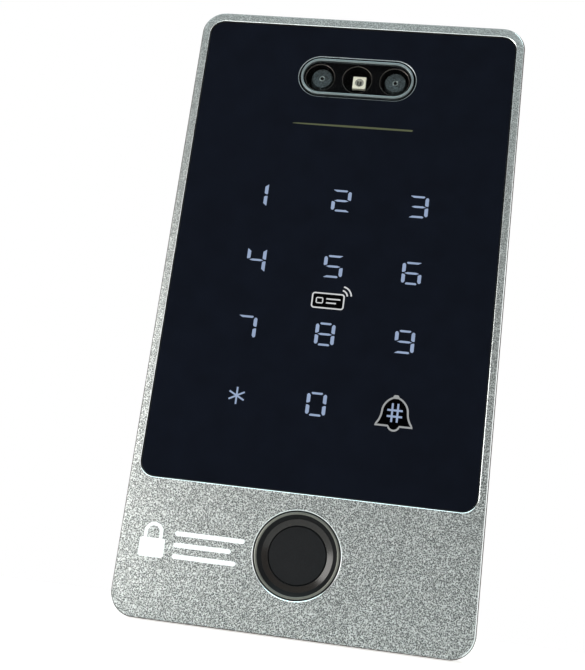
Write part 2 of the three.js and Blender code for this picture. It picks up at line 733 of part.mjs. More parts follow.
const mainBoard = { width: 79, low: -58, high: 50, corner: 2 };
const connector = { low: 36, high: 43.5, back: 4.3, mouthWidth: 2.2, mouthDepth: 4, wall: 1 };
const relay = { x: -27, y: -51, width: 12, height: 10, corner: 0.8, front: 17.6 };
const buzzer = { x: -24, y: -24, radius: 6, back: 4.6, soundHole: 1.2, soundDepth: 2 };
const shield = { width: 24, height: 22, y: 18, front: 12.6 };
const capacitor = { x: 27, y: -51, radius: 4, front: 17.6 };
const battery = { x: 22, y: -16, radius: 6, front: 13.4 };
const boardScrew = { radius: 0.95, head: 1.9, headHeight: 1.2, tip: 19 };
const flangeBack = level.coverInside + slip;
const flangeFront = flangeBack + tamper.flangeThickness;
const tamperHouse = { size: 7, back: flangeFront + press + 2 * slip, hole: 1.1, stemReach: 0.6 };
const boardFace = level.mainFront + gap; // where parts on the board's front stand

function makeMainBoard() {
  const { width, low, high, corner } = mainBoard;
  const { mainBack, mainFront } = level;
  return cut(
    slab(roundedBox(width, high - low, corner, 0, (low + high) / 2, 2), mainBack, mainFront),
    ...boardCorners.map(([x, y]) => rod(boardPost.hole, x, y, mainBack - past, mainFront + past, 8)),
  );
}

// A wiring header whose row of wire mouths faces down to the cable outlet.
function makeConnector(x, width, poles) {
  const { low, high, back, mouthWidth, mouthDepth, wall } = connector;
  const front = level.mainBack - gap;
  const pitch = width / poles;
  const mouths = Array.from({ length: poles }, (unused, i) => {
    const left = x - width / 2 + pitch * (i + 0.5) - mouthWidth / 2;
    return box([left, low - past, back + wall], [left + mouthWidth, low + mouthDepth, front - wall]);
  });
  return cut(box([x - width / 2, low, back], [x + width / 2, high, front]), ...mouths);
}

function makeRelay() {
  const { x, y, width, height, corner, front } = relay;
  return slab(roundedBox(width, height, corner, x, y, 2), boardFace, front);
}

function makeBuzzer() {
  const { x, y, radius, back, soundHole, soundDepth } = buzzer;
  const hole = rod(soundHole, x, y, back - past, back + soundDepth, 12);
  return cut(rod(radius, x, y, back, level.mainBack - gap, 24), hole);
}

function makeTamperSwitch() {
  const { size, back, hole } = tamperHouse;
  return cut(
    block(size, size, tamper.x, tamper.y, back, level.mainBack - gap),
    rod(hole, tamper.x, tamper.y, back - past, level.mainBack - slip, 12),
  );
}

// The plunger's tip lies in the wall's plane; its flange keeps it from falling out of the back shell.
function makeTamperPlunger() {
  const { x, y, radius, flange, stem } = tamper;
  return join(
    rod(radius, x, y, 0, flangeFront),
    rod(flange, x, y, flangeBack, flangeFront),
    rod(stem, x, y, flangeFront - past, tamperHouse.back + tamperHouse.stemReach, 10),
  );
}

const makeShield = () => block(shield.width, shield.height, 0, shield.y, boardFace, shield.front);
const makeCan = ({ x, y, radius, front }) => rod(radius, x, y, boardFace, front, 24);

// Flat cables between the boards, each resting on the faces it joins.
const rest = ribbonThickness / 2 + gap;
const turn = 1.6; // how far a cable's bend stands off the faces
const keypadRoute = [
  [-33, level.keypadBack - rest],
  [-38.5, level.keypadBack - rest],
  [-40.6, level.keypadBack - turn],
  [-40.6, level.mainFront + turn],
  [-38.5, level.mainFront + rest],
  [-33, level.mainFront + rest],
];
const cameraRoute = [
  [62, level.cameraBoardBack - rest],
  [54.5, level.cameraBoardBack - rest],
  [50, level.mainFront + rest],
  [42, level.mainFront + rest],
];
const sensorRoute = [
  [-58, sensorBoardBack - rest],
  [-71.5, sensorBoardBack - rest],
  [-73.5, sensorBoardBack - turn],
  [-73.5, level.mainFront + turn],
  [-71.5, level.mainFront + rest],
  [-52, level.mainFront + rest],
];

addPart(terminal, "main_board", makeMainBoard(), colour.board, 0.5);
addPart(terminal, "power_connector", makeConnector(-12, 20, 6), colour.connector, 0.5);
addPart(terminal, "door_connector", makeConnector(10, 16, 5), colour.connector, 0.5);
addPart(terminal, "relay", makeRelay(), colour.relay, 0.4);
addPart(terminal, "buzzer", makeBuzzer(), colour.blackPlastic, 0.5);
addPart(terminal, "processor_shield", makeShield(), colour.zinc, 0.35, 1);
addPart(terminal, "supply_capacitor", makeCan(capacitor), colour.steel, 0.35, 0.6);
addPart(terminal, "clock_battery", makeCan(battery), colour.steel, 0.25, 1);
addPart(terminal, "tamper_switch", makeTamperSwitch(), colour.blackPlastic, 0.5);
addPart(terminal, "tamper_plunger", makeTamperPlunger(), colour.label, 0.5);
addPart(terminal, "keypad_ribbon", ribbon(keypadRoute, 12, -8), colour.flatCable, 0.4);
addPart(terminal, "camera_ribbon", ribbon(cameraRoute, 12, 0), colour.flatCable, 0.4);
addPart(terminal, "sensor_ribbon", ribbon(sensorRoute, 8, 0), colour.flatCable, 0.4);
boardCorners.forEach(([x, y], i) => {
  const far = level.keypadBack - gap;
  const sleeve = rod(boardPost.radius, x, y, boardFace, far, 12);
  const spacer = cut(sleeve, rod(boardPost.hole, x, y, boardFace - past, far + past, 8));
  const { radius, head, headHeight, tip } = boardScrew;
  const screw = makeScrew(x, y, radius, head, level.mainBack - headHeight, level.mainBack - gap, tip);
  addPart(terminal, `board_spacer_${i + 1}`, spacer, colour.brass, 0.35, 1);
  addPart(terminal, `board_screw_${i + 1}`, screw, colour.steel, 0.3, 1);
});

// ---------------------------------------------------------------- the whole object, on its wall

const object = new THREE.Group();
object.add(fixed, terminal);
object.rotation.x = Math.PI / 2;

export default object;
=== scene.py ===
"""The looks of a wall-mounted access terminal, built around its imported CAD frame.

Pieces are laid out in millimetres as the terminal is seen on its wall: x to the right, y up and z out from
the wall. place() turns a layout point into the frame's metres, where +Z is up and the front faces -Y.
"""

import json
import math
from types import SimpleNamespace

import bmesh
import bpy
from mathutils import Matrix, Vector
from mathutils.geometry import tessellate_polygon


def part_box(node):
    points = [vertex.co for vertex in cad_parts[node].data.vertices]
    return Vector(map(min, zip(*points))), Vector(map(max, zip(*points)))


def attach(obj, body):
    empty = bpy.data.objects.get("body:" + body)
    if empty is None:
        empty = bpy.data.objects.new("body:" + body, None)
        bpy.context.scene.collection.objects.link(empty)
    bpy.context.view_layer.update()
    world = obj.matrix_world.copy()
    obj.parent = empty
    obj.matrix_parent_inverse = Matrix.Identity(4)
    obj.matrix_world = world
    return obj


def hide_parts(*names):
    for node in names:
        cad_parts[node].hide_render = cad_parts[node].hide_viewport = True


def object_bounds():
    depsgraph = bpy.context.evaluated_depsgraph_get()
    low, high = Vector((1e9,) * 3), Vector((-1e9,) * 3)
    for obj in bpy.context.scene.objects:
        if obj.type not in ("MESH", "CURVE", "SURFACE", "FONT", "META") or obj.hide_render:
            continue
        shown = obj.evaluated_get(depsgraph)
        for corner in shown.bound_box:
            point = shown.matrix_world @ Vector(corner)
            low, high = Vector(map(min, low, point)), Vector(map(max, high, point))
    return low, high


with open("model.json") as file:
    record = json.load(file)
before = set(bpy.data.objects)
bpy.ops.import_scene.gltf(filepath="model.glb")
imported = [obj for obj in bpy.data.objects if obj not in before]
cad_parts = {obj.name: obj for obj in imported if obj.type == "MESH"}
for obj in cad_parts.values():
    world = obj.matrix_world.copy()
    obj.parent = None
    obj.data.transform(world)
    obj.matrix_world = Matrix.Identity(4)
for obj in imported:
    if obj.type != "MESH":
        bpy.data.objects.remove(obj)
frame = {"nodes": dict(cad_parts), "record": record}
cad_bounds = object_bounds()

MM = 0.001


def measured(low, high):
    """A box of the frame in layout millimetres: its middle, its size, and how far out its ends are."""
    middle = (low + high) / 2
    size = high - low

    def mm(length):
        return round(length / MM, 2)

    return SimpleNamespace(
        x=mm(middle.x),
        y=mm(middle.z),
        width=mm(size.x),
        height=mm(size.z),
        back=mm(-high.y),
        front=mm(-low.y),
    )


BODY = measured(*cad_bounds)
SHELL = measured(*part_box("front_housing"))
GLASS = measured(*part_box("touch_glass"))
POD = measured(*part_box("camera_ring"))
HOLDER = measured(*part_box("camera_holder"))
LAMP = measured(*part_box("camera_led"))
BAR = measured(*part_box("led_bar_light_pipe"))
BEZEL = measured(*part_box("sensor_bezel"))
PAD = measured(*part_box("fingerprint_pad"))
DEPTH = BODY.front
GLASS_CORNER = 3.8
POD_RIM, POD_GAP = 0.65, 0.55  # the ring's width, and the gap between the ring and the glass
LENS_PITCH, BORE = 9.85, 3.8  # from the pod's middle to a side bore, and each bore's radius
LEAST_CORNER = 0.02  # an outline pulled in past its corner radius keeps this one
PLAIN, POLISHED, SHADED, OUTER = range(4)  # a piece's own finish, its bright edge (on the shell's right outer edge a painted highlight), its dark gap (on the shell a painted shade), its rim (a painted shade)


def place(x, y, z):
    """A layout point in millimetres as a point of the frame in metres."""
    return Vector((x * MM, -z * MM, y * MM))


# ------------------------------------------------------------------ outlines


def rounded(width, height, corner, x=0.0, y=0.0, steps=12):
    """A rounded rectangle as a function of how far its outline is pulled in."""

    def outline(inset=0.0):
        radius = max(corner - inset, LEAST_CORNER)
        points = []
        for quarter in range(4):
            side_x = 1 if quarter in (0, 3) else -1
            side_y = 1 if quarter < 2 else -1
            centre_x = x + side_x * (width / 2 - inset - radius)
            centre_y = y + side_y * (height / 2 - inset - radius)
            for step in range(steps + 1):
                angle = (quarter + step / steps) * math.pi / 2
                points.append((centre_x + radius * math.cos(angle), centre_y + radius * math.sin(angle)))
        return points

    return outline


def stadium(width, height, x=0.0, y=0.0, steps=16):
    """A slot with round ends, its half circles a hair short so that no two points meet."""
    hair = 0.01
    return rounded(width, height, min(width, height) / 2 - hair, x, y, steps)


def circle(radius, x=0.0, y=0.0, sides=96):
    """A circle as a function of how far its outline is pulled in."""

    def outline(inset=0.0):
        angles = [math.tau * i / sides for i in range(sides)]
        r = radius - inset
        return [(x + r * math.cos(a), y + r * math.sin(a)) for a in angles]

    return outline


def quarter_round(radius, steps, start_z):
    """Steps of (inset, z) that round an edge over, from the side wall at start_z up to the face."""
    angles = [math.pi / 2 * i / steps for i in range(steps + 1)]
    return [(radius * (1 - math.cos(a)), start_z + radius * math.sin(a)) for a in angles]


# ------------------------------------------------------------------ closed meshes


class Solid:
    """A closed mesh put together from loops of vertices, walls between them and flat faces."""

    def __init__(self):
        self.mesh = bmesh.new()
        self.look = PLAIN

    def add_face(self, corners):
        """One face in the finish that is set at the moment."""
        face = self.mesh.faces.new(corners)
        face.material_index = self.look
        return face

    def loop(self, points, z):
        """The points as vertices, that far out from the wall."""
        return [self.mesh.verts.new(place(x, y, z)) for x, y in points]

    def wall(self, first, second):
        """Four-sided faces between two loops of the same length."""
        count = len(first)
        faces = []
        for i in range(count):
            j = (i + 1) % count
            faces.append(self.add_face((first[i], first[j], second[j], second[i])))
        return faces

    def walls(self, outline, steps):
        """Walls through (inset, z) steps of one outline. Returns the first and the last loop."""
        loops = [self.loop(outline(inset), z) for inset, z in steps]
        for first, second in zip(loops, loops[1:]):
            self.wall(first, second)
        return loops[0], loops[-1]

    def band(self, first, second, look):
        """One wall in another of the piece's finishes."""
        self.look = look
        self.wall(first, second)
        self.look = PLAIN

    def opening(self, outline, foot, top, lip, side=PLAIN):
        """The wall of a hole in a front face, with a shallow polished lip. Returns its end loops."""
        lip_slope = 0.65
        first = self.loop(outline(), foot)
        below = self.loop(outline(), top - lip_slope * lip)
        last = self.loop(outline(-lip), top)
        self.band(first, below, side)
        self.band(below, last, POLISHED)
        return first, last

    def face(self, outer, *holes):
        """A flat face in a loop, cut out by other loops."""
        if not holes:
            self.add_face(outer)
            return
        loops = [outer, *holes]
        corners = [vertex for loop in loops for vertex in loop]
        for triangle in tessellate_polygon([[vertex.co for vertex in loop] for loop in loops]):
            self.add_face([corners[i] for i in triangle])

    def turn(self, profile, x=0.0, y=0.0, sides=96, polished=()):
        """A closed profile of (radius, z) turned about an axis out from the wall; radius 0 is a point.

        The stretches numbered in polished take the second finish.
        """
        rings = []
        for radius, z in profile:
            points = circle(radius, x, y, sides)() if radius > 0 else [(x, y)]
            rings.append(self.loop(points, z))
        for stretch, (first, second) in enumerate(zip(rings, rings[1:] + rings[:1])):
            self.look = POLISHED if stretch in polished else PLAIN
            if len(first) == 1 and len(second) == 1:
                continue
            if len(first) == 1 or len(second) == 1:
                tip, ring = (first[0], second) if len(first) == 1 else (second[0], first)
                for i, vertex in enumerate(ring):
                    self.add_face((tip, vertex, ring[(i + 1) % len(ring)]))
            else:
                self.wall(first, second)

    def piece(self, name, body, looks, replaces=(), sharp=32):
        """Makes the object: its finishes in the order of the face numbers, its body and what it replaces."""
        bmesh.ops.recalc_face_normals(self.mesh, faces=self.mesh.faces)
        data = bpy.data.meshes.new(name)
        self.mesh.to_mesh(data)
        self.mesh.free()
        data.polygons.foreach_set("use_smooth", [True] * len(data.polygons))
        data.set_sharp_from_angle(angle=math.radians(sharp))
        made = bpy.data.objects.new(name, data)
        bpy.context.scene.collection.objects.link(made)
        for look in looks:
            data.materials.append(look)
        weighted = made.modifiers.new("even_shading", "WEIGHTED_NORMAL")
        weighted.keep_sharp = True
        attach(made, body)
        if replaces:
            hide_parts(*replaces)


def prism(solid, points, near, far):
    """A flat outline pushed from near to far."""
    back = solid.loop(points, near)
    front = solid.loop(points, far)
    solid.wall(back, front)
    solid.face(back)
    solid.face(front)


# ------------------------------------------------------------------ materials


def nodes_of(name):
    """A new material, its node tree and its main shader."""
    look = bpy.data.materials.new(name)
    look.use_nodes = True
    tree = look.node_tree
    return look, tree, tree.nodes["Principled BSDF"]


def own_coordinates(tree):
    """Coordinates that stay with the piece as it moves."""
    return tree.nodes.new("ShaderNodeTexCoord").outputs["Object"]


def noise(tree, size, detail=2.0, roughness=0.5):
    """Noise whose features are about that many millimetres across."""
    texture = tree.nodes.new("ShaderNodeTexNoise")
    texture.inputs["Scale"].default_value = 1 / (size * MM)
    texture.inputs["Detail"].default_value = detail
    texture.inputs["Roughness"].default_value = roughness
    tree.links.new(own_coordinates(tree), texture.inputs["Vector"])
    return texture.outputs["Fac"]


def ranged(tree, value, low, high, start=0.3, end=0.7):
    """The value spread from start and end, where most noise lies, to low and high."""
    spread = tree.nodes.new("ShaderNodeMapRange")
    spread.inputs["From Min"].default_value = start
    spread.inputs["From Max"].default_value = end
    spread.inputs["To Min"].default_value = low
    spread.inputs["To Max"].default_value = high
    tree.links.new(value, spread.inputs["Value"])
    return spread.outputs["Result"]


def blended(tree, share, first, second):
    """A colour between two by a share that varies over the surface."""
    mixed = tree.nodes.new("ShaderNodeMix")
    mixed.data_type = "RGBA"
    mixed.inputs["A"].default_value = (*first, 1)
    mixed.inputs["B"].default_value = (*second, 1)
    tree.links.new(share, mixed.inputs["Factor"])
    return mixed.outputs["Result"]


def bumped(tree, shader, height, depth):
    """Fine relief of about that many millimetres."""
    bump = tree.nodes.new("ShaderNodeBump")
    bump.inputs["Distance"].default_value = depth * MM
    bump.inputs["Strength"].default_value = 1
    tree.links.new(height, bump.inputs["Height"])
    tree.links.new(bump.outputs["Normal"], shader.inputs["Normal"])


def finish(
    name, color, roughness, metallic=0.0, grain=0.4, depth=0.01, mottle=0.12, spread=0.06, specular=0.5
):
    """A general finish: fine grain in colour and height, and slow changes in roughness."""
    smoothest, patch = 0.02, 12 * grain
    look, tree, shader = nodes_of(name)
    fine = noise(tree, grain)
    dark = [c * (1 - mottle) for c in color]
    light = [min(c * (1 + mottle), 1) for c in color]
    tree.links.new(blended(tree, ranged(tree, fine, 0, 1), dark, light), shader.inputs["Base Color"])
    coarse = noise(tree, patch, 3)
    low, high = max(roughness - spread, smoothest), min(roughness + spread, 1)
    tree.links.new(ranged(tree, coarse, low, high), shader.inputs["Roughness"])
    shader.inputs["Metallic"].default_value = metallic
    shader.inputs["Specular IOR Level"].default_value = specular
    if depth:
        bumped(tree, shader, fine, depth)
    return look


def grains(tree, size):
    """Evenly spread grains of about that many millimetres, dark in the middle and light between them."""
    disorder, nearest, farthest = 0.8, 0.2, 0.78
    cells = tree.nodes.new("ShaderNodeTexVoronoi")
    cells.inputs["Scale"].default_value = 1 / (size * MM)
    cells.inputs["Randomness"].default_value = disorder
    tree.links.new(own_coordinates(tree), cells.inputs["Vector"])
    return ranged(tree, cells.outputs["Distance"], 0, 1, nearest, farthest)


def sand_paint():
    """Grey metallic paint with a sandy grain, which stands out most near the bottom: its strength is painted
    raking light that fades toward the top.
    """
    look, tree, shader = nodes_of("sand_paint")
    grain_size, middle, darkest, lightest = 0.29, 0.5, 0.2, 0.84
    low, high = -55 * MM, 45 * MM
    painted_raking_bottom, painted_raking_top = 0.7, 0.35
    relief_size, relief_depth = 0.25, 0.02
    dark, light = (0.0, 0.003, 0.003), (0.77, 0.79, 0.77)
    split = tree.nodes.new("ShaderNodeSeparateXYZ")
    tree.links.new(own_coordinates(tree), split.inputs["Vector"])
    # Painted light: the grain is made fainter with height, standing in for less raking light toward the top.
    painted_raking_fade = ranged(tree, split.outputs["Z"], painted_raking_bottom, painted_raking_top, low, high)
    grain = tree.nodes.new("ShaderNodeMix")
    grain.inputs["A"].default_value = middle
    tree.links.new(painted_raking_fade, grain.inputs["Factor"])
    tree.links.new(grains(tree, grain_size), grain.inputs["B"])
    share = ranged(tree, grain.outputs["Result"], 0, 1, darkest, lightest)
    tree.links.new(blended(tree, share, dark, light), shader.inputs["Base Color"])
    tree.links.new(ranged(tree, noise(tree, 3), 0.34, 0.42), shader.inputs["Roughness"])
    shader.inputs["Metallic"].default_value = 0.65
    bumped(tree, shader, noise(tree, relief_size, 3, 0.6), relief_depth)
    return look


def glowing(name, color):
    """A lit symbol, a little uneven from one part to the next."""
    look, tree, shader = nodes_of(name)
    unevenness = 0.12
    dim = [c * (1 - unevenness) for c in color]
    tint = blended(tree, ranged(tree, noise(tree, 4, 1), 0, 1), dim, color)
    tree.links.new(tint, shader.inputs["Emission Color"])
    shader.inputs["Emission Strength"].default_value = 1
    shader.inputs["Base Color"].default_value = (0.01, 0.01, 0.012, 1)
    shader.inputs["Roughness"].default_value = 0.6
    shader.inputs["Specular IOR Level"].default_value = 0.1
    return look


def clear_window():
    """Clear plastic, nearly invisible apart from its gloss."""
    look, tree, shader = nodes_of("clear_window")
    tree.links.new(ranged(tree, noise(tree, 6, 2), 0.01, 0.04), shader.inputs["Roughness"])
    shader.inputs["Base Color"].default_value = (0.01, 0.01, 0.01, 1)
    shader.inputs["Alpha"].default_value = 0.05
    shader.inputs["Specular IOR Level"].default_value = 0.2
    return look


# The finishes that stand for the record's material slots.
SLOT_FINISHES = {
    "back_shell": dict(color=(0.028, 0.028, 0.03), roughness=0.55, grain=0.5, depth=0.03, mottle=0.2),
    "black_glass": dict(
        color=(0.0034, 0.0048, 0.0092), roughness=0.06, grain=6, depth=0, spread=0.02, specular=0.1
    ),
    "pod_metal": dict(
        color=(0.27, 0.31, 0.315), roughness=0.36, metallic=0.85, grain=0.5, depth=0.002, mottle=0.06
    ),
    "black_plastic": dict(
        color=(0.0015, 0.0015, 0.002), roughness=0.5, grain=0.25, mottle=0.3, specular=0.02
    ),
    "reader_bezel": dict(color=(0.01, 0.01, 0.0105), roughness=0.4, grain=0.6, depth=0.002, specular=0.12),
    "reader_pad": dict(
        color=(0.0065, 0.0068, 0.0078), roughness=0.6, grain=0.3, depth=0.008, mottle=0.25, specular=0.2
    ),
    "seal_rubber": dict(color=(0.02, 0.02, 0.02), roughness=0.75, grain=0.4, depth=0.01),
    "lens_barrel": dict(
        color=(0.042, 0.056, 0.06), roughness=0.5, metallic=0.3, grain=0.5, depth=0.08, mottle=0.75
    ),
    "lamp_ceramic": dict(color=(0.97, 0.94, 0.77), roughness=0.4, grain=0.4, depth=0.004, mottle=0.03),
    "light_pipe": dict(color=(0.13, 0.13, 0.06), roughness=0.35, grain=1, depth=0.002),
    "circuit_board": dict(color=(0.015, 0.10, 0.04), roughness=0.4, grain=0.8, depth=0.01, mottle=0.2),
    "antenna_board": dict(color=(0.35, 0.16, 0.06), roughness=0.4, grain=0.8, depth=0.01, mottle=0.2),
    "zinc_steel": dict(
        color=(0.55, 0.57, 0.6), roughness=0.38, metallic=1.0, grain=1.4, depth=0.006, mottle=0.1, spread=0.1
    ),
    "screw_steel": dict(color=(0.5, 0.5, 0.51), roughness=0.3, metallic=1.0, grain=0.3, depth=0.004),
    "brass": dict(color=(0.6, 0.45, 0.15), roughness=0.32, metallic=1.0, grain=0.3, depth=0.004),
    "relay_case": dict(color=(0.03, 0.08, 0.2), roughness=0.4, grain=0.5),
    "connector_plastic": dict(color=(0.03, 0.2, 0.07), roughness=0.5, grain=0.5),
    "flat_cable": dict(color=(0.5, 0.28, 0.06), roughness=0.4, grain=1.0),
    "plunger_plastic": dict(color=(0.68, 0.68, 0.65), roughness=0.5, grain=0.4),
    "label_film": dict(color=(0.7, 0.71, 0.7), roughness=0.4, grain=0.6, mottle=0.05),
}
# The finishes of small parts and edges.
DETAIL_FINISHES = {
    "symbol_shade": dict(color=(0.001, 0.001, 0.0012), roughness=0.5, grain=1, depth=0, specular=0),
    "white_print": dict(color=(0.95, 0.96, 0.96), roughness=0.5, grain=0.5, depth=0.004, mottle=0.03),
    "lamp_die": dict(color=(0.1, 0.1, 0.085), roughness=0.3, metallic=0.3, grain=0.5, mottle=0.5),
    "lamp_cup": dict(color=(0.42, 0.42, 0.36), roughness=0.4, grain=0.5, mottle=0.2),
    "bore_rim": dict(color=(0.05, 0.042, 0.036), roughness=0.35, metallic=0.4, grain=0.4, depth=0.002),
    "aperture": dict(color=(0.002, 0.002, 0.002), roughness=0.2, grain=0.5, depth=0),
    "aperture_ring": dict(color=(0.26, 0.3, 0.29), roughness=0.3, metallic=0.6, grain=0.3, depth=0.002),
    "cut_edge": dict(
        color=(0.9, 0.93, 0.92), roughness=0.26, metallic=1.0, grain=0.4, depth=0.002, mottle=0.05
    ),
    "glass_edge": dict(color=(0.3, 0.33, 0.34), roughness=0.3, metallic=0.5, grain=0.5, depth=0.002),
    "glass_rim": dict(color=(0.07, 0.075, 0.08), roughness=0.3, metallic=0.5, grain=0.5, depth=0.002),
    # Painted shade: the dark walls of the shell's glass recess and reader hole, standing in for the shade in
    # these gaps.
    "gap_shade": dict(color=(0.03, 0.025, 0.022), roughness=0.6, grain=0.5, depth=0, specular=0.1),
    # Painted shade: a dark brown finish for the shell's outer edge facet, standing in for the side wall in
    # shadow.
    "painted_edge_shade": dict(color=(0.07, 0.04, 0.035), roughness=0.5, metallic=0.2, grain=0.3, depth=0.004),
    "reader_trim": dict(color=(0.2, 0.2, 0.175), roughness=0.35, metallic=0.8, grain=0.25, depth=0.006),
    "reader_shelf": dict(color=(0.012, 0.009, 0.007), roughness=0.2, grain=3, depth=0, spread=0.02),
}
GLOW_COLORS = {
    "digit_light": (0.31, 0.395, 0.57),
    "print_light": (0.66, 0.67, 0.68),
    "bell_light": (0.35, 0.36, 0.36),
    "bar_light": (0.085, 0.097, 0.043),
}
LOOKS = {name: finish(name, **settings) for name, settings in SLOT_FINISHES.items()}
LOOKS["front_paint"] = sand_paint()
LOOKS["clear_window"] = clear_window()
DETAILS = {name: finish(name, **settings) for name, settings in DETAIL_FINISHES.items()}
DETAILS.update({name: glowing(name, color) for name, color in GLOW_COLORS.items()})

# ------------------------------------------------------------------ terminal front


def make_front_housing():
    """A shell: rounded outside, glass recess with its ledge and window, and the reader's round hole."""
    solid = Solid()
    back, ledge_back, ledge_front = SHELL.back, 18.0, 19.6
    wall, corner, inner_corner = 2.2, 6, 4
    window_width, window_height, window_corner = 70, 112, 3
    hole_radius, clearance = 10.5, 0.15
    edge, recess_lip, hole_lip = 0.5, 0.13, 0.18
    crest_inset, crest_drop = 0.2, 0.18
    painted_glint_side = (BODY.width / 2 - 3) * MM
    outside = rounded(BODY.width, BODY.height, corner, steps=24)
    cavity = rounded(BODY.width - 2 * wall, BODY.height - 2 * wall, inner_corner)
    window = rounded(window_width, window_height, window_corner, y=GLASS.y)
    recess_width, recess_height = GLASS.width + 2 * clearance, GLASS.height + 2 * clearance
    recess = rounded(recess_width, recess_height, GLASS_CORNER + clearance, y=GLASS.y, steps=16)
    hole = circle(hole_radius, y=BEZEL.y, sides=128)
    rim, side = solid.walls(outside, [(edge, back), (0, back + edge), (0, DEPTH - edge)])
    crest = solid.loop(outside(crest_inset), DEPTH - crest_drop)
    front = solid.loop(outside(edge), DEPTH)
    # Painted shade: the outer facet takes the dark brown edge finish all round, for the side wall in shadow.
    solid.band(side, crest, OUTER)
    # Painted highlight: the inner facet of the outer edge takes the bright metal cut-edge finish only on the
    # right side, where it catches the right panel. Everywhere else it keeps the paint.
    for face in solid.wall(crest, front):
        if face.calc_center_median().x > painted_glint_side:
            face.material_index = POLISHED
    inner_rim, ceiling = solid.walls(cavity, [(0, back), (0, ledge_back)])
    window_back, window_front = solid.walls(window, [(0, ledge_back), (0, ledge_front)])
    # The recess and hole walls take the dark gap finish, a painted shade.
    recess_foot, recess_top = solid.opening(recess, ledge_front, DEPTH, recess_lip, SHADED)
    hole_back, hole_front = solid.opening(hole, ledge_back, DEPTH, hole_lip, SHADED)
    solid.face(rim, inner_rim)
    solid.face(recess_foot, window_front)
    solid.face(ceiling, window_back, hole_back)
    solid.face(front, recess_top, hole_front)
    looks = [LOOKS["front_paint"], DETAILS["cut_edge"], DETAILS["gap_shade"], DETAILS["painted_edge_shade"]]
    solid.piece("front_shell", "terminal", looks, ["front_housing"])


def make_glass():
    """The cover glass, cut out round the camera pod, with its rim and its cut edge."""
    solid = Solid()
    edge = 0.18
    sheet = rounded(GLASS.width, GLASS.height, GLASS_CORNER, y=GLASS.y, steps=16)
    pod_hole = stadium(POD.width + 2 * POD_GAP, POD.height + 2 * POD_GAP, POD.x, POD.y)
    sheet_back, side = solid.walls(sheet, [(0, GLASS.back), (0, GLASS.front - edge)])
    sheet_front = solid.loop(sheet(edge), GLASS.front)
    solid.band(side, sheet_front, SHADED)
    hole_back, hole_front = solid.opening(pod_hole, GLASS.back, GLASS.front, edge)
    solid.face(sheet_back, hole_back)
    solid.face(sheet_front, hole_front)
    looks = [LOOKS["black_glass"], DETAILS["glass_edge"], DETAILS["glass_rim"]]
    solid.piece("cover_glass", "terminal", looks, ["touch_glass"])


# ------------------------------------------------------------------ symbols under the glass

SHADE_BACK = GLASS.front + 0.001
SYMBOL_BACK = GLASS.front + 0.004
SYMBOL_FRONT = GLASS.front + 0.03
KEY_WIDTH, KEY_HEIGHT, TOP_ROW = 19.7, 17.7, 28.2
COLUMNS = [KEY_WIDTH * column for column in (-1, 0, 1)]
ROWS = [TOP_ROW - KEY_HEIGHT * row for row in range(4)]
BELL_KEY_X = COLUMNS[2] - 0.35
DIGIT_REACH, DIGIT_TOP = 2.45, 2.95  # from a digit's middle to its side and to its top
UPRIGHT_WIDTH, BAR_WIDTH = 0.88, 0.52
DIGIT_SHIFT_X, DIGIT_SHIFT_Y = 0.17, 0.18
# A capital is a segment whose far end is cut although the bar next to it isn't lit.
SEGMENTS = {
    "1": "bc", "2": "abged", "3": "abgcd", "4": "fgbc", "5": "afgcd",
    "6": "afgedc", "7": "abC", "8": "abcdefg", "9": "abcdfg", "0": "abcdef",
}
# Each upright: the bar that cuts its end, and the sides it is mirrored to from the upper right.
UPRIGHTS = {"b": ("a", 1, 1), "f": ("a", -1, 1), "c": ("d", 1, -1), "e": ("d", -1, -1)}
# Each outer bar: the uprights at its left and right ends, and whether it is at the top.
BARS = {"a": ("f", "b", 1), "d": ("e", "c", -1)}


def upright_segment(capped):
    """The upper right segment; a bar cuts its outer corner, and it rises to a point where there is none."""
    outer, top = DIGIT_REACH, DIGIT_TOP
    inner = outer - UPRIGHT_WIDTH
    foot = [(inner, 0.52), (inner + 0.28, 0.3), (outer - 0.1, 0.2), (outer, 0.4)]
    cut = [(outer, top - 0.72), (outer - 0.22, top - 0.42), (outer - 0.6, top - 0.4), (inner, top - 0.85)]
    pointed = [(outer, top - 0.1), (outer - 0.1, top - 0.06), (inner, top - 0.68)]
    return foot + (cut if capped else pointed)


def bar_segment(left_free, right_free):
    """The top bar, whose free end runs out in a point and whose other end stops short of its upright."""
    reach, top, thick = DIGIT_REACH, DIGIT_TOP, BAR_WIDTH
    free = [(reach - 1.05, top - thick), (reach - 0.25, top - 0.08), (reach - 0.4, top)]
    held = [(reach - 1.32, top - thick), (reach - 1.0, top - thick / 2), (reach - 1.2, top)]
    right = free if right_free else held
    left = [(-x, y) for x, y in reversed(free if left_free else held)]
    return right + left


def middle_segment():
    """The bar across the middle, pointed at both ends."""
    reach, half, point = DIGIT_REACH - 0.62, BAR_WIDTH / 2, 0.8
    foot = reach - point
    return [(-reach, 0), (-foot, -half), (foot, -half), (reach, 0), (foot, half), (-foot, half)]


def digit_outlines(shown):
    """The lit segments of one digit: a top, b and c right, d bottom, e and f left, g middle."""
    made = []
    for letter, (cap, flip_x, flip_y) in UPRIGHTS.items():
        if letter in shown.lower():
            capped = cap in shown or letter.upper() in shown
            made.append([(x * flip_x, y * flip_y) for x, y in upright_segment(capped)])
    for letter, (left, right, flip_y) in BARS.items():
        if letter in shown:
            made.append([(x, y * flip_y) for x, y in bar_segment(left not in shown, right not in shown)])
    if "g" in shown:
        made.append(middle_segment())
    return made


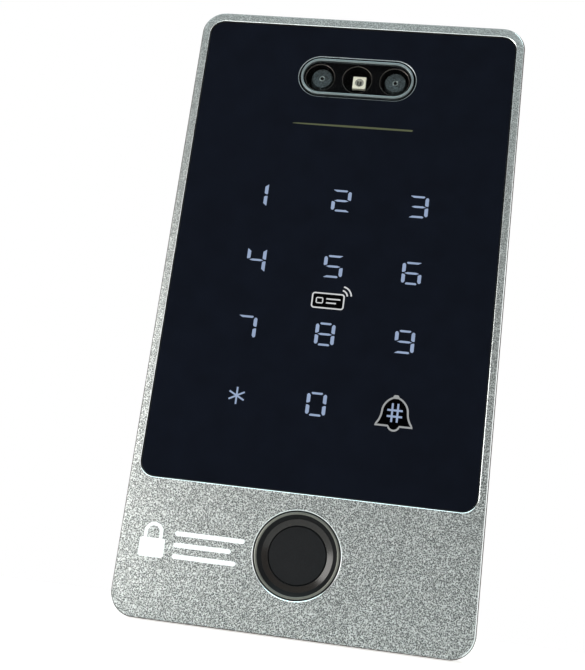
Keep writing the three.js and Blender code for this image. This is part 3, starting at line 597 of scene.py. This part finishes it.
def stroke(points, width, closed=False):
    """The left and right side of a line of even width through the points."""
    left, right = [], []
    count = len(points)
    for i, (x, y) in enumerate(points):
        before = points[i - 1] if closed or i else points[i]
        after = points[(i + 1) % count] if closed or i < count - 1 else points[i]
        along = Vector((after[0] - before[0], after[1] - before[1])).normalized()
        left.append((x - along.y * width / 2, y + along.x * width / 2))
        right.append((x + along.y * width / 2, y - along.x * width / 2))
    return left, right


def add_shade(solid, points, x=0.0, y=0.0):
    """A thin black patch behind a symbol."""
    prism(solid, shifted(points, x, y), SHADE_BACK, SYMBOL_BACK)


def add_stroke(solid, points, width, closed=False):
    """A lit line through the points, or all the way round them."""
    left, right = stroke(points, width, closed)
    if not closed:
        prism(solid, left + right[::-1], SYMBOL_BACK, SYMBOL_FRONT)
        return
    loops = [(solid.loop(side, SYMBOL_BACK), solid.loop(side, SYMBOL_FRONT)) for side in (left, right)]
    (left_back, left_front), (right_back, right_front) = loops
    solid.wall(left_back, left_front)
    solid.wall(right_front, right_back)
    solid.wall(left_front, right_front)
    solid.wall(right_back, left_back)


def arc(x, y, radius, start, end, steps=14):
    """Points of an arc from one angle to another, in degrees."""
    angles = [math.radians(start + (end - start) * i / steps) for i in range(steps + 1)]
    return [(x + radius * math.cos(a), y + radius * math.sin(a)) for a in angles]


def shifted(points, x, y):
    """The points moved by x and y."""
    return [(px + x, py + y) for px, py in points]


def make_digits():
    """Seven-segment digits; the one is moved left, so that its segments stand in the middle of its key."""
    one_shift = DIGIT_REACH - UPRIGHT_WIDTH / 2 - 0.15
    for row, line in enumerate(("123", "456", "789", " 0 ")):
        for column, label in enumerate(line):
            if label not in SEGMENTS:
                continue
            solid = Solid()
            x = COLUMNS[column] - (one_shift if label == "1" else 0) + DIGIT_SHIFT_X
            for outline in digit_outlines(SEGMENTS[label]):
                prism(solid, shifted(outline, x, ROWS[row] + DIGIT_SHIFT_Y), SYMBOL_BACK, SYMBOL_FRONT)
            solid.piece(f"digit_{label}", "terminal", [DETAILS["digit_light"]])


def make_star():
    """Three thin strokes that cross."""
    solid = Solid()
    x, y, reach, width = COLUMNS[0] + 0.1, ROWS[3] + 0.3, 2.15, 0.42
    for angle in (90, 28, 152):
        a = math.radians(angle)
        dx, dy = reach * math.cos(a), reach * math.sin(a)
        add_stroke(solid, [(x - dx, y - dy), (x + dx, y + dy)], width)
    solid.piece("star_symbol", "terminal", [DETAILS["digit_light"]])


def make_hash():
    """Two upright and two level strokes inside the bell."""
    solid = Solid()
    centre_x, centre_y, width = BELL_KEY_X, ROWS[3] + 0.1, 0.47
    half_gap_x, half_gap_y, drop = 0.67, 0.76, 0.15
    reach_x, reach_y = 1.85, 2.3
    for side in (-1, 1):
        x, y = centre_x + side * half_gap_x, centre_y + side * half_gap_y - drop
        add_stroke(solid, [(x, centre_y - reach_y), (x, centre_y + reach_y)], width)
        add_stroke(solid, [(centre_x - reach_x, y), (centre_x + reach_x, y)], width)
    solid.piece("hash_symbol", "terminal", [DETAILS["digit_light"]])


def bell_side(share):
    """Half width and height of the bell's side from its crown (0) to its flared foot (1)."""
    crown, tall = 3.8, 7
    shoulder, flare, flare_start = 3.1, 1.45, 0.4
    turned = math.sin(min(2 * share, 1) * math.pi / 2)
    flared = max((share - flare_start) / (1 - flare_start), 0)
    return shoulder * turned**0.53 + flare * flared**2.5, crown - tall * share


def make_bell():
    """One line round the bell and its clapper, with a filled cap on top and black inside."""
    x, y, width, steps = BELL_KEY_X, ROWS[3] + 0.05, 0.44, 20
    side = [bell_side((i / steps) ** 1.5) for i in range(1, steps + 1)]
    left = [(-w, h) for w, h in reversed(side)]
    clapper = arc(0, -2.9, 1.4, 347, 193, 12)
    outline = [*left, *side, *clapper]
    shade = Solid()
    add_shade(shade, outline, x, y)
    shade.piece("bell_shade", "terminal", [DETAILS["symbol_shade"]])
    solid = Solid()
    add_stroke(solid, shifted(outline, x, y), width, closed=True)
    cap_top = [*arc(0.25, 4.0, 0.42, 10, 90, 5), *arc(-0.25, 4.0, 0.42, 90, 170, 5)]
    cap = [*cap_top, (-1.1, 3.5), (1.1, 3.5)]
    prism(solid, shifted(cap, x, y), SYMBOL_BACK, SYMBOL_FRONT)
    solid.piece("bell_symbol", "terminal", [DETAILS["bell_light"]])


def make_card():
    """A card with a chip and two lines, and two radio arcs at its corner."""
    x, y = -0.1, 1.6
    outline_width, chip_width, line_width, wave_width = 0.34, 0.26, 0.34, 0.36
    outline = rounded(7.9, 3.8, 0.6, x, y, 5)
    chip = rounded(1.6, 1.35, 0.25, x - 2.1, y, 3)
    line_start, line_offset = x - 0.4, 0.52
    shade = Solid()
    add_shade(shade, outline())
    shade.piece("card_shade", "terminal", [DETAILS["symbol_shade"]])
    solid = Solid()
    add_stroke(solid, outline(), outline_width, closed=True)
    add_stroke(solid, chip(), chip_width, closed=True)
    for side, length in ((1, 3.5), (-1, 2.5)):
        line_y = y + side * line_offset
        add_stroke(solid, [(line_start, line_y), (line_start + length, line_y)], line_width)
    for radius in (1.6, 2.6):
        add_stroke(solid, arc(x + 3.1, y + 1.45, radius, 6, 78), wave_width)
    solid.piece("card_symbol", "terminal", [DETAILS["print_light"]])


def make_status_bar():
    """A long thin light, thickest in the middle, with a fine tip at its left."""
    solid = Solid()
    half, thick, x, y = BAR.width / 2, 0.28, BAR.x + 0.05, BAR.y
    top = [(half - 0.25, 0.24), (0, thick), (1.2 - half, 0.16), (-half, 0.02)]
    bottom = [(-half + 0.1, -0.12), (2.4 - half, -0.2), (0, -thick), (half - 0.3, -0.24), (half, 0.05)]
    prism(solid, shifted(top + bottom, x, y), SYMBOL_BACK, SYMBOL_FRONT)
    solid.piece("status_bar", "terminal", [DETAILS["bar_light"]])


def make_badge():
    """A plain padlock and three bars in white print beside the reader."""
    solid = Solid()
    back, front = DEPTH + 0.002, DEPTH + 0.03
    x, y = -34.8, -61.7
    shackle, shackle_width, shackle_foot, shackle_top = 1.9, 0.85, 0.6, 2.0
    bars_x, bar_width = 5.2, 1.15

    def flat(points):
        prism(solid, shifted(points, x, y), back, front)

    bow = arc(0, shackle_top, shackle, 180, 0)
    left, right = stroke([(-shackle, shackle_foot), *bow, (shackle, shackle_foot)], shackle_width)
    flat(left + right[::-1])
    flat(rounded(6.2, 4.6, 0.7, 0, -1.7, 4)())
    for bar_y, length in ((2.2, 17), (-0.5, 14), (-3.2, 15.5)):
        flat(stadium(length, bar_width, bars_x + length / 2, bar_y, 6)())
    solid.piece("badge_print", "terminal", [DETAILS["white_print"]])


# ------------------------------------------------------------------ camera pod


def make_pod_ring():
    """The metal ring round the pod, rounded over on both sides."""
    solid = Solid()
    edge = 0.2
    outer = stadium(POD.width, POD.height, POD.x, POD.y)
    inner = stadium(POD.width - 2 * POD_RIM, POD.height - 2 * POD_RIM, POD.x, POD.y)
    rounding = quarter_round(edge, 4, DEPTH - edge)
    outer_back, outer_front = solid.walls(outer, [(0, POD.back), *rounding])
    inner_steps = [(0, POD.back), *[(-inset, z) for inset, z in rounding]]
    inner_back, inner_front = solid.walls(inner, inner_steps)
    solid.face(outer_back, inner_back)
    solid.face(outer_front, inner_front)
    solid.piece("pod_ring", "terminal", [LOOKS["pod_metal"]], ["camera_ring"])


def make_pod_block():
    """The black block of the pod, with a bore for each lens and a blind one for the lamp."""
    solid = Solid()
    back, front, flange_back, flange_front = HOLDER.back, HOLDER.front, 18.4, 19.88
    lamp_depth, lip = 3.6, 0.16
    tower = stadium(POD.width, POD.height, POD.x, POD.y)
    flange = rounded(HOLDER.width, HOLDER.height, 3, POD.x, POD.y)
    tower_back, root_back = solid.walls(tower, [(0, back), (0, flange_back)])
    root_front, tower_front = solid.walls(tower, [(0, flange_front), (0, front)])
    flange_low, flange_high = solid.walls(flange, [(0, flange_back), (0, flange_front)])
    solid.face(flange_low, root_back)
    solid.face(flange_high, root_front)
    bores = [circle(BORE, POD.x + side * LENS_PITCH, POD.y, 64) for side in (-1, 1)]
    ends = [solid.opening(bore, back, front, lip) for bore in bores]
    lamp_floor, lamp_mouth = solid.opening(circle(BORE, POD.x, POD.y, 64), front - lamp_depth, front, lip)
    solid.face(lamp_floor)
    solid.face(tower_back, *[first for first, last in ends])
    solid.face(tower_front, lamp_mouth, *[last for first, last in ends])
    looks = [LOOKS["black_plastic"], DETAILS["bore_rim"]]
    solid.piece("pod_block", "terminal", looks, ["camera_holder"])


def make_pod_window():
    """The clear window inside the ring, its front edge chamfered."""
    solid = Solid()
    clear, edge = 2 * POD_RIM + 0.2, 0.1
    sheet = stadium(POD.width - clear, POD.height - clear, POD.x, POD.y)
    back, front = solid.walls(sheet, [(0, POD.back), (0, GLASS.front - edge), (edge, GLASS.front)])
    solid.face(back)
    solid.face(front)
    solid.piece("pod_window", "terminal", [LOOKS["clear_window"]], ["camera_window"])


def serrated(radius, x, y, notches, depth, sides):
    """A circle whose rim is cut by small notches."""

    def outline(inset=0.0):
        points = []
        for i in range(sides):
            angle = math.tau * i / sides
            notch = depth * max(math.cos(angle * notches), 0) ** 2
            r = radius - inset - (notch if inset < radius / 2 else 0)
            points.append((x + r * math.cos(angle), y + r * math.sin(angle)))
        return points

    return outline


def make_lens(name):
    """A barrel with a notched rim, its face sunk towards the aperture."""
    solid = Solid()
    lens = measured(*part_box(name))
    x, y, back, face = lens.x, lens.y, lens.back, lens.front
    radius, notches, notch_depth, neck = 2.72, 14, 0.16, 0.28
    rim = serrated(radius, x, y, notches, notch_depth, 8 * notches)
    steps = [(-neck, back), (-neck, face - 1.0), (0, face - 0.7), (0, face - 0.08), (0.08, face)]
    rings = [(0.5, face - 0.02), (1.2, face - 0.1), (1.9, face - 0.18)]
    foot, inner = solid.walls(rim, [*steps, *rings])
    solid.face(foot)
    solid.face(inner)
    solid.piece(f"{name}_barrel", "terminal", [LOOKS["lens_barrel"]], [name])
    ring = Solid()
    low, high = face - 0.17, face - 0.02
    inside, outside, chamfer = 0.52, 0.74, 0.05
    crest = ((inside + outside) / 2, high)
    ring_profile = [(inside, low), (outside, low), (outside, high - chamfer), crest, (inside, high - chamfer)]
    ring.turn(ring_profile, x, y, 40)
    ring.piece(f"{name}_aperture_ring", "terminal", [DETAILS["aperture_ring"]])
    pupil = Solid()
    prism(pupil, circle(0.38, x, y, 32)(), low, low + 0.05)
    pupil.piece(f"{name}_pupil", "terminal", [DETAILS["aperture"]])


def make_lamp():
    """A square light chip: ceramic frame, sunk round cup, and two grey dies and a bond in it."""
    solid = Solid()
    x, y, back, top = LAMP.x, LAMP.y + 0.04, LAMP.back, LAMP.front
    edge, cup_depth, cup_taper, die_foot = 0.06, 0.35, 0.25, 0.34
    ceramic = rounded(LAMP.width, LAMP.height, 0.15, x, y, 4)
    cup = rounded(2.3, 2.3, 1.1, x, y, 10)
    low, high = solid.walls(ceramic, [(0, back), (0, top - edge), (edge, top)])
    solid.look = POLISHED
    floor, mouth = solid.walls(cup, [(cup_taper, top - cup_depth), (0, top)])
    solid.face(floor)
    solid.look = PLAIN
    solid.face(low)
    solid.face(high, mouth)
    looks = [LOOKS["lamp_ceramic"], DETAILS["lamp_cup"]]
    solid.piece("lamp_body", "terminal", looks, ["camera_led"])
    dies = Solid()
    for die_x, width in ((x - 0.42, 0.42), (x + 0.3, 0.5)):
        prism(dies, rounded(width, 1.1, 0.08, die_x, y - 0.05, 2)(), top - die_foot, top - 0.18)
    prism(dies, circle(0.16, x - 0.05, y - 0.75, 12)(), top - die_foot, top - 0.2)
    dies.piece("lamp_die", "terminal", [DETAILS["lamp_die"]])


# ------------------------------------------------------------------ fingerprint reader


def make_bezel():
    """The reader's black ring: a steep wall, a glossy sloping shelf and the flange behind."""
    solid = Solid()
    radius, bore, skirt, flange = 10.4, 7.0, 9.4, BEZEL.width / 2
    seat, seat_edge = DEPTH - 0.25, 0.05
    flange_front, skirt_front = 19.0, 18.6
    profile = [
        (skirt, BEZEL.back), (flange, BEZEL.back), (flange, flange_front), (radius, flange_front),
        (radius, seat - seat_edge), (radius - seat_edge, seat), (9.5, seat), (9.38, seat - 0.1),
        (8.62, DEPTH - 1.15), (8.5, DEPTH - 1.2), (bore + 0.1, DEPTH - 1.71), (bore, DEPTH - 1.8),
        (bore, skirt_front), (skirt, skirt_front),
    ]
    shelf = 9
    solid.turn(profile, 0, BEZEL.y, 160, polished=(shelf,))
    looks = [LOOKS["reader_bezel"], DETAILS["reader_shelf"]]
    solid.piece("reader_ring", "terminal", looks, ["sensor_bezel"], sharp=12)


def make_trim():
    """The bright rim that lies on the black ring, rounded across its width."""
    solid = Solid()
    inner, outer, steps = 9.52, 10.15, 10
    foot, rise, fullness = DEPTH - 0.24, 0.22, 0.6
    middle, half = (inner + outer) / 2, (outer - inner) / 2
    angles = [math.pi * i / steps for i in range(steps + 1)]
    top = [(middle + half * math.cos(a), foot + rise * math.sin(a) ** fullness) for a in angles]
    solid.turn(top, 0, BEZEL.y, 160)
    solid.piece("reader_trim", "terminal", [DETAILS["reader_trim"]], sharp=60)


def make_pad():
    """The matt pad on its flange, its edge rounded over."""
    solid = Solid()
    radius, flange, edge = 6.85, PAD.width / 2, 0.18
    flange_front, top = 18.5, PAD.front
    rounding = [(radius - inset, z) for inset, z in quarter_round(edge, 5, top - edge)]
    stem = [(0, PAD.back), (flange, PAD.back), (flange, flange_front), (radius, flange_front)]
    solid.turn([*stem, *rounding, (0, top)], 0, BEZEL.y, 128)
    solid.piece("reader_pad", "terminal", [LOOKS["reader_pad"]], ["fingerprint_pad"])


# ------------------------------------------------------------------ carried-over CAD nodes


def soften(node, width):
    """Rounds a CAD node's edges by that many millimetres, so that they catch the light."""
    weld = node.modifiers.new("weld", "WELD")
    weld.merge_threshold = 0.001 * MM
    bevel = node.modifiers.new("edges", "BEVEL")
    bevel.width = width * MM
    bevel.segments = 2
    bevel.limit_method = "ANGLE"
    bevel.angle_limit = math.radians(40)
    bevel.harden_normals = True


def dress_nodes():
    """Gives every CAD node the finish of its material slot, and rounds the large ones seen from behind."""
    for row in frame["record"]["subparts"]:
        node = frame["nodes"][row["node"]]
        look = LOOKS[row["material_slot"]]
        for holder in node.material_slots:
            holder.material = look
        if not node.material_slots:
            node.data.materials.append(look)
    for name in ("rear_cover", "wall_bracket", "security_screw"):
        soften(frame["nodes"][name], 0.15)


# ------------------------------------------------------------------ stage


def make_floor():
    """A pale, even table top just under the object, white to the camera and dimmer to everything else."""
    low = cad_bounds[0].z - 0.4 * MM
    radius, sides = 0.5, 96
    seen_glow, lit_glow = 0.74, 0.3
    mesh = bmesh.new()
    angles = [math.tau * i / sides for i in range(sides)]
    mesh.faces.new([mesh.verts.new((radius * math.cos(a), radius * math.sin(a), low)) for a in angles])
    data = bpy.data.meshes.new("floor")
    mesh.to_mesh(data)
    mesh.free()
    floor = bpy.data.objects.new("floor", data)
    bpy.context.scene.collection.objects.link(floor)
    look, tree, shader = nodes_of("floor_paper")
    paper = blended(tree, ranged(tree, noise(tree, 60, 2), 0, 1), (0.84, 0.84, 0.83), (0.86, 0.86, 0.855))
    tree.links.new(paper, shader.inputs["Base Color"])
    shader.inputs["Roughness"].default_value = 0.9
    shader.inputs["Emission Color"].default_value = (1, 0.985, 0.96, 1)
    path = tree.nodes.new("ShaderNodeLightPath")
    glow = ranged(tree, path.outputs["Is Camera Ray"], lit_glow, seen_glow, 0, 1)
    tree.links.new(glow, shader.inputs["Emission Strength"])
    data.materials.append(look)


def make_camera():
    """Low in front and a little to the right, looking up at the front and rolled to the side."""
    where = Vector((0.0281, -0.2759, -0.0718))
    forward = Vector((-0.1357, 0.9609, 0.2412)).normalized()
    up = Vector((-0.096, -0.2551, 0.9622))
    camera = bpy.data.objects.new("camera", bpy.data.cameras.new("camera"))
    camera.data.lens = 57.28
    camera.data.sensor_width = 36
    camera.data.clip_start = 0.01
    camera.data.clip_end = 20
    right = forward.cross(up).normalized()
    rotation = Matrix((right, right.cross(forward), -forward)).transposed().to_4x4()
    camera.matrix_world = Matrix.Translation(where) @ rotation
    bpy.context.scene.collection.objects.link(camera)
    bpy.context.scene.camera = camera


def add_light(name, where, width, height, radiance, color=(1, 1, 1)):
    """A soft rectangular light that looks at the middle of the front."""
    light = bpy.data.lights.new(name, "AREA")
    light.shape = "RECTANGLE"
    light.size = width
    light.size_y = height
    light.energy = radiance * math.pi * width * height
    light.color = color
    holder = bpy.data.objects.new(name, light)
    holder.location = where
    target = Vector((0, -DEPTH * MM, 0))
    holder.rotation_euler = (target - holder.location).to_track_quat("-Z", "Y").to_euler()
    bpy.context.scene.collection.objects.link(holder)


def make_lights():
    """A strong key from the left, light from above and behind, and side panels that light the edges."""
    add_light("key", (-0.225, -0.262, 0.008), 0.15, 0.17, 6.2, (1, 0.985, 0.96))
    add_light("top", (-0.05, -0.27, 0.62), 1.0, 0.5, 2.05, (0.74, 0.96, 1))
    add_light("right_panel", (0.52, -0.32, 0.06), 0.4, 0.45, 1.2)
    add_light("left_panel", (-0.6, -0.17, 0.0), 0.25, 0.3, 1.6)
    add_light("rear", (0.4, 0.9, 0.7), 0.6, 0.6, 1.5)


def make_world():
    """White to the camera, and a dim grey to everything else so that the glass stays dark."""
    world = bpy.data.worlds.new("studio")
    bpy.context.scene.world = world
    world.use_nodes = True
    tree = world.node_tree
    tree.nodes.clear()

    def background(strength):
        node = tree.nodes.new("ShaderNodeBackground")
        node.inputs["Color"].default_value = (1, 1, 1, 1)
        node.inputs["Strength"].default_value = strength
        return node.outputs["Background"]

    path = tree.nodes.new("ShaderNodeLightPath")
    mixed = tree.nodes.new("ShaderNodeMixShader")
    output = tree.nodes.new("ShaderNodeOutputWorld")
    tree.links.new(path.outputs["Is Camera Ray"], mixed.inputs["Fac"])
    tree.links.new(background(0.3), mixed.inputs[1])
    tree.links.new(background(1), mixed.inputs[2])
    tree.links.new(mixed.outputs["Shader"], output.inputs["Surface"])


# ------------------------------------------------------------------ all together

make_camera()
dress_nodes()
make_front_housing()
make_glass()
make_digits()
make_star()
make_hash()
make_bell()
make_card()
make_status_bar()
make_badge()
make_pod_ring()
make_pod_block()
make_pod_window()
make_lens("camera_lens_left")
make_lens("camera_lens_right")
make_lamp()
make_bezel()
make_trim()
make_pad()
make_floor()
make_lights()
make_world()
bpy.context.scene.view_settings.view_transform = "Standard"
